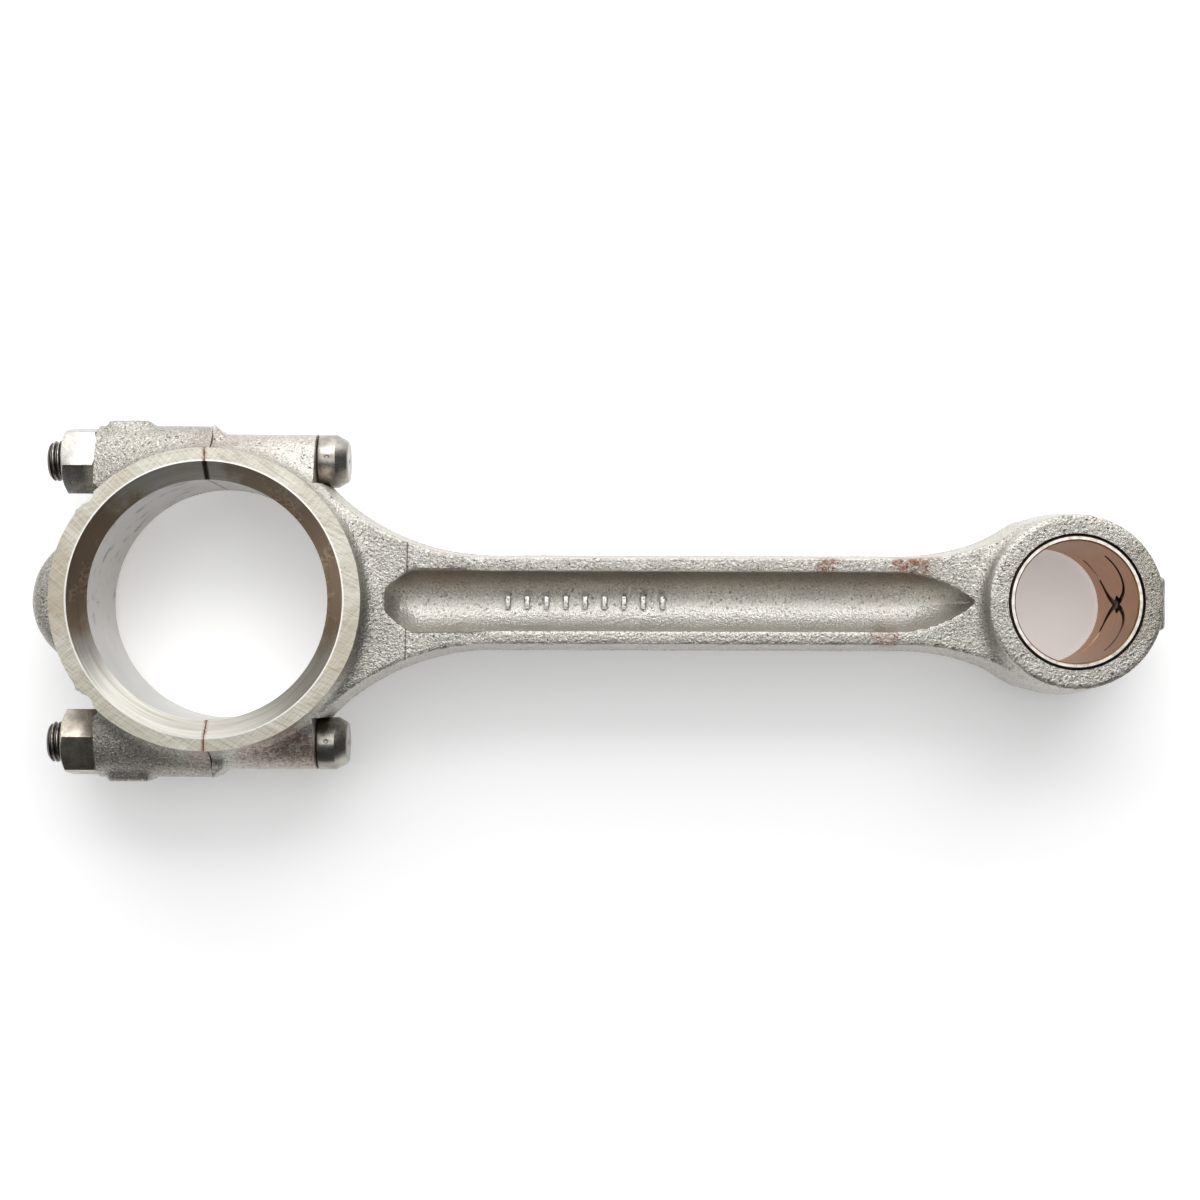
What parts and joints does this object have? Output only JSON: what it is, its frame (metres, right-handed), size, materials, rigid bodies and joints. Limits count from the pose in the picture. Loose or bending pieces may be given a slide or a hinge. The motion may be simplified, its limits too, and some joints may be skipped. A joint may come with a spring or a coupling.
{
  "type": "connecting rod",
  "caption": "Forged engine connecting rod with an H-section shank, a bushed small end, and a split big end whose cap is held by bolts and nuts.",
  "frame": {"origin": "middle of the rod's length and of its width over the bolt bosses, on the plane of the lower end faces", "axes": "+X runs along the shank from the big end to the small end, +Z runs along both bores, and Y runs from one rod bolt to the other"},
  "size_m": [0.2912, 0.0932, 0.0393],
  "materials": {
    "forged_rod": "shot-blasted forging with ground end faces",
    "forged_cap": "shot-blasted forging with ground end faces",
    "bush_bronze": "bored bronze on a steel back",
    "bolt_steel": "dark satin",
    "nut_steel": "dark satin"
  },
  "bodies": {
    "rod": {"rod_body": "forged_rod", "small_end_bush": "bush_bronze", "rod_bolt_upper": "bolt_steel", "rod_bolt_lower": "bolt_steel"},
    "cap": {"big_end_cap": "forged_cap"},
    "nut_upper": {"rod_nut_upper": "nut_steel"},
    "nut_lower": {"rod_nut_lower": "nut_steel"}
  },
  "joints": [
    {"name": "cap_slide", "type": "slide", "parent": "rod", "child": "cap", "axis": [-1, 0, 0], "range_m": [0, 0.01298]},
    {"name": "nut_upper_spin", "type": "hinge", "parent": "cap", "child": "nut_upper", "pos_m": [-0.13369, 0.0366, 0.01965], "axis": [-1, 0, 0], "range_deg": [0, 3680]},
    {"name": "nut_lower_spin", "type": "hinge", "parent": "cap", "child": "nut_lower", "pos_m": [-0.13369, -0.0366, 0.01965], "axis": [-1, 0, 0], "range_deg": [0, 3680]}
  ],
  "couplings": [
    {"joint": "nut_upper_spin", "follows": "cap_slide", "rad_per_m": 4947.4},
    {"joint": "nut_lower_spin", "follows": "cap_slide", "rad_per_m": 4947.4}
  ]
}
